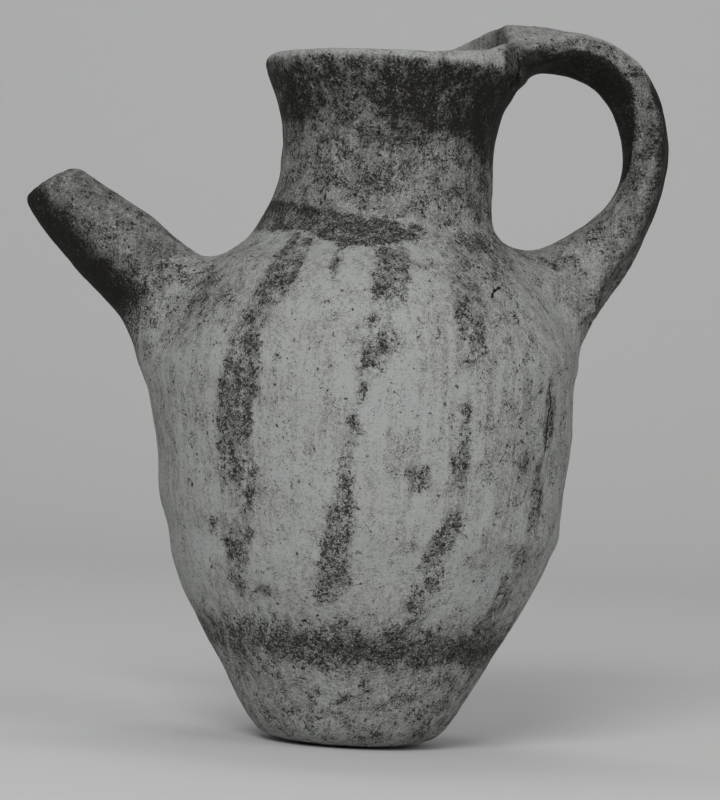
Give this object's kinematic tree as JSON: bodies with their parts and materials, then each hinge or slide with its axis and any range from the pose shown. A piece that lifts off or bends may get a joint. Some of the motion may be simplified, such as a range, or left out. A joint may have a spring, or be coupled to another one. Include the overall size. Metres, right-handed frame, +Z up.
{
  "type": "spouted jug",
  "caption": "Hand-built clay pouring jug with an egg-shaped body, flared neck, upward tube spout and a high looped strap handle from lip to shoulder.",
  "frame": {"origin": "middle of the flat patch of the base that the jug stands on", "axes": "+Z up along the body's axis; the spout points to -X and rises; the handle stands on the +X side, 9 degrees towards +Y"},
  "size_m": [0.2326, 0.1506, 0.2595],
  "materials": {
    "body_slip": "matt pale slip with worn dark painted stripes, pitted",
    "neck_slip": "matt pale slip with worn dark painted bands",
    "spout_paint": "matt dark paint worn to mottled slip",
    "handle_paint": "matt dark paint worn to mottled slip",
    "inner_clay": "bare fired clay, rough"
  },
  "bodies": {
    "root": {"base": "body_slip", "lower_wall": "body_slip", "belly_wall": "body_slip", "shoulder": "body_slip", "neck": "neck_slip", "rim": "neck_slip", "spout": "spout_paint", "spout_collar": "body_slip", "handle": "handle_paint", "handle_collar": "handle_paint", "handle_saddle": "handle_paint", "handle_wad": "inner_clay"}
  },
  "joints": []
}
